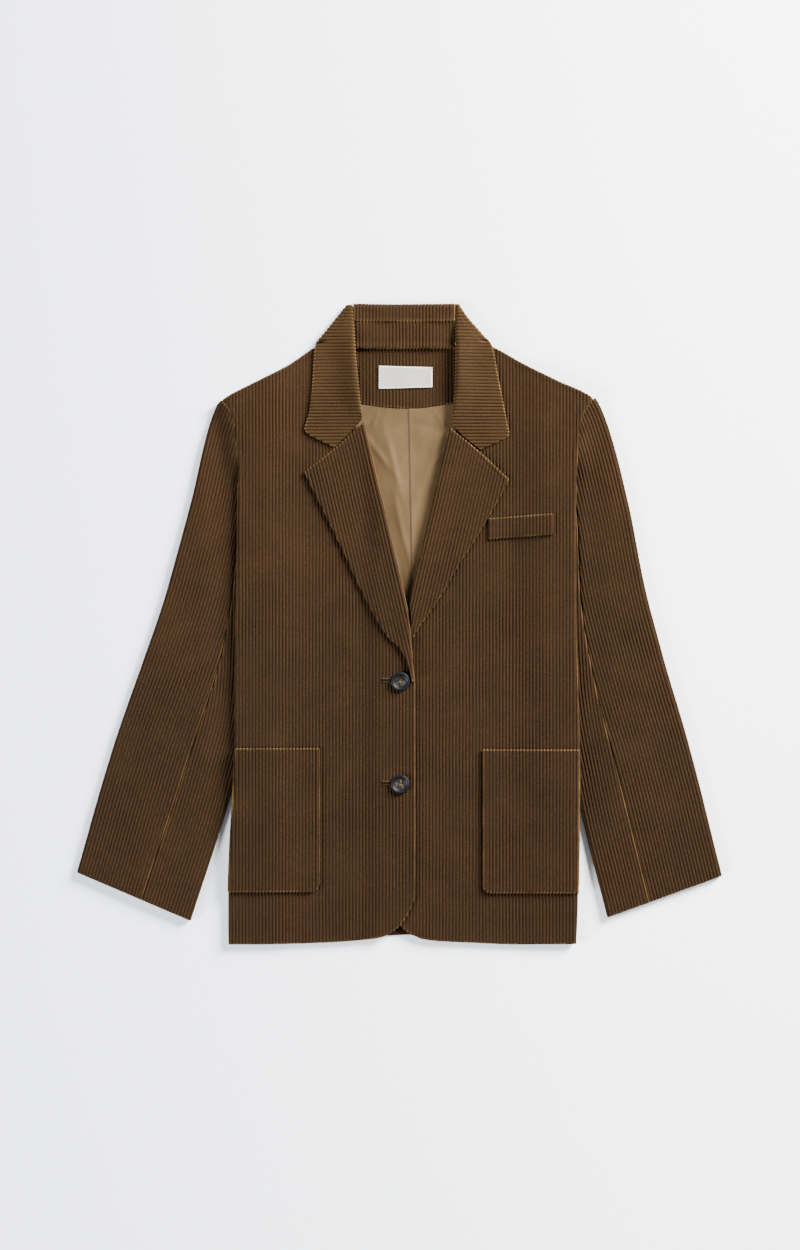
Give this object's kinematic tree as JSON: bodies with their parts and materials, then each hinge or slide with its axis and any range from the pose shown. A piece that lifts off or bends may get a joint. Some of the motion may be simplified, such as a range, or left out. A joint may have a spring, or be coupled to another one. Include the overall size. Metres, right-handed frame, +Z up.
{
  "type": "corduroy jacket laid flat",
  "caption": "Single-breasted corduroy jacket laid flat on its back, buttoned, with notched lapels, patch pockets and a breast welt.",
  "frame": {"origin": "on the surface that the jacket lies on, under the middle of its whole outline", "axes": "+X to the wearer's left, +Y to the collar, +Z up from the surface"},
  "size_m": [0.7734, 0.7687, 0.0171],
  "materials": {
    "corduroy": "wide-wale cotton corduroy, brushed nap, paler where the wales are rubbed",
    "lining": "satin lining with a soft sheen",
    "label": "blank woven label",
    "button": "polished horn-like resin"
  },
  "bodies": {
    "root": {"right_front": "corduroy", "left_front": "corduroy", "back": "corduroy", "right_top_sleeve": "corduroy", "right_under_sleeve": "corduroy", "left_top_sleeve": "corduroy", "left_under_sleeve": "corduroy", "collar_back": "corduroy", "collar_stand": "corduroy", "collar_right_leaf": "corduroy", "collar_left_leaf": "corduroy", "back_neck_facing": "corduroy", "neck_label": "label", "back_lining": "lining", "right_lapel": "corduroy", "left_lapel": "corduroy", "right_pocket": "corduroy", "left_pocket": "corduroy", "breast_welt": "corduroy", "upper_button": "button", "lower_button": "button"}
  },
  "joints": []
}
